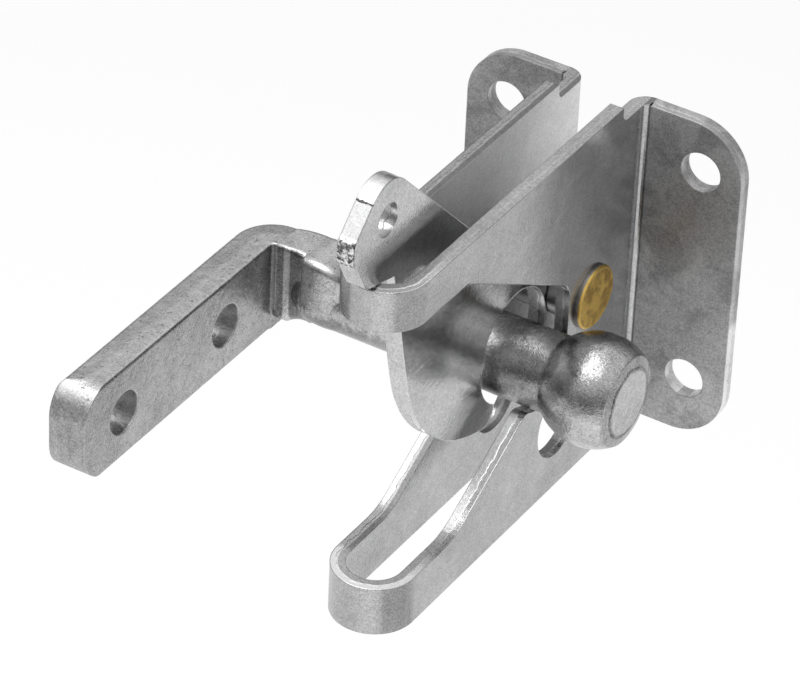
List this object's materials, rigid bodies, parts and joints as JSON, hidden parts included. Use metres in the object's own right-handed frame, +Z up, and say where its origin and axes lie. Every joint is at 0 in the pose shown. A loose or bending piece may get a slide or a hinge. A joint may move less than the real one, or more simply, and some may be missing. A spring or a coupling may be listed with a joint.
{
  "type": "automatic gate latch",
  "caption": "Gate latch of folded sheet steel with a gravity lever hooked over a ball-ended strike bar, which is bent into a drilled strap for the gate.",
  "frame": {"origin": "centre of the four screw holes on the latch's back face, which lies on the post", "axes": "+Y into the post, +Z up, +X along the strike bar towards its ball"},
  "size_m": [0.0702, 0.0858, 0.0796],
  "materials": {
    "plated_sheet": "zinc-plated satin",
    "plated_plate": "zinc-plated satin",
    "plated_forging": "zinc-plated over a forged surface",
    "rivet_brass": "worn satin"
  },
  "bodies": {
    "latch": {"latch_body": "plated_sheet", "pivot_rivet": "rivet_brass", "spacer_ball_side": "plated_plate", "spacer_strap_side": "plated_plate"},
    "lever": {"lever": "plated_plate"},
    "strike": {"strike_bar": "plated_forging"}
  },
  "joints": [
    {"name": "lever_lift", "type": "hinge", "parent": "latch", "child": "lever", "pos_m": [0, -0.0153, -0.00045], "axis": [-1, 0, 0], "range_deg": [0, 40]},
    {"name": "strike_float", "type": "slide", "parent": "latch", "child": "strike", "axis": [1, 0, 0], "range_m": [-0.0034, 0.016]}
  ]
}
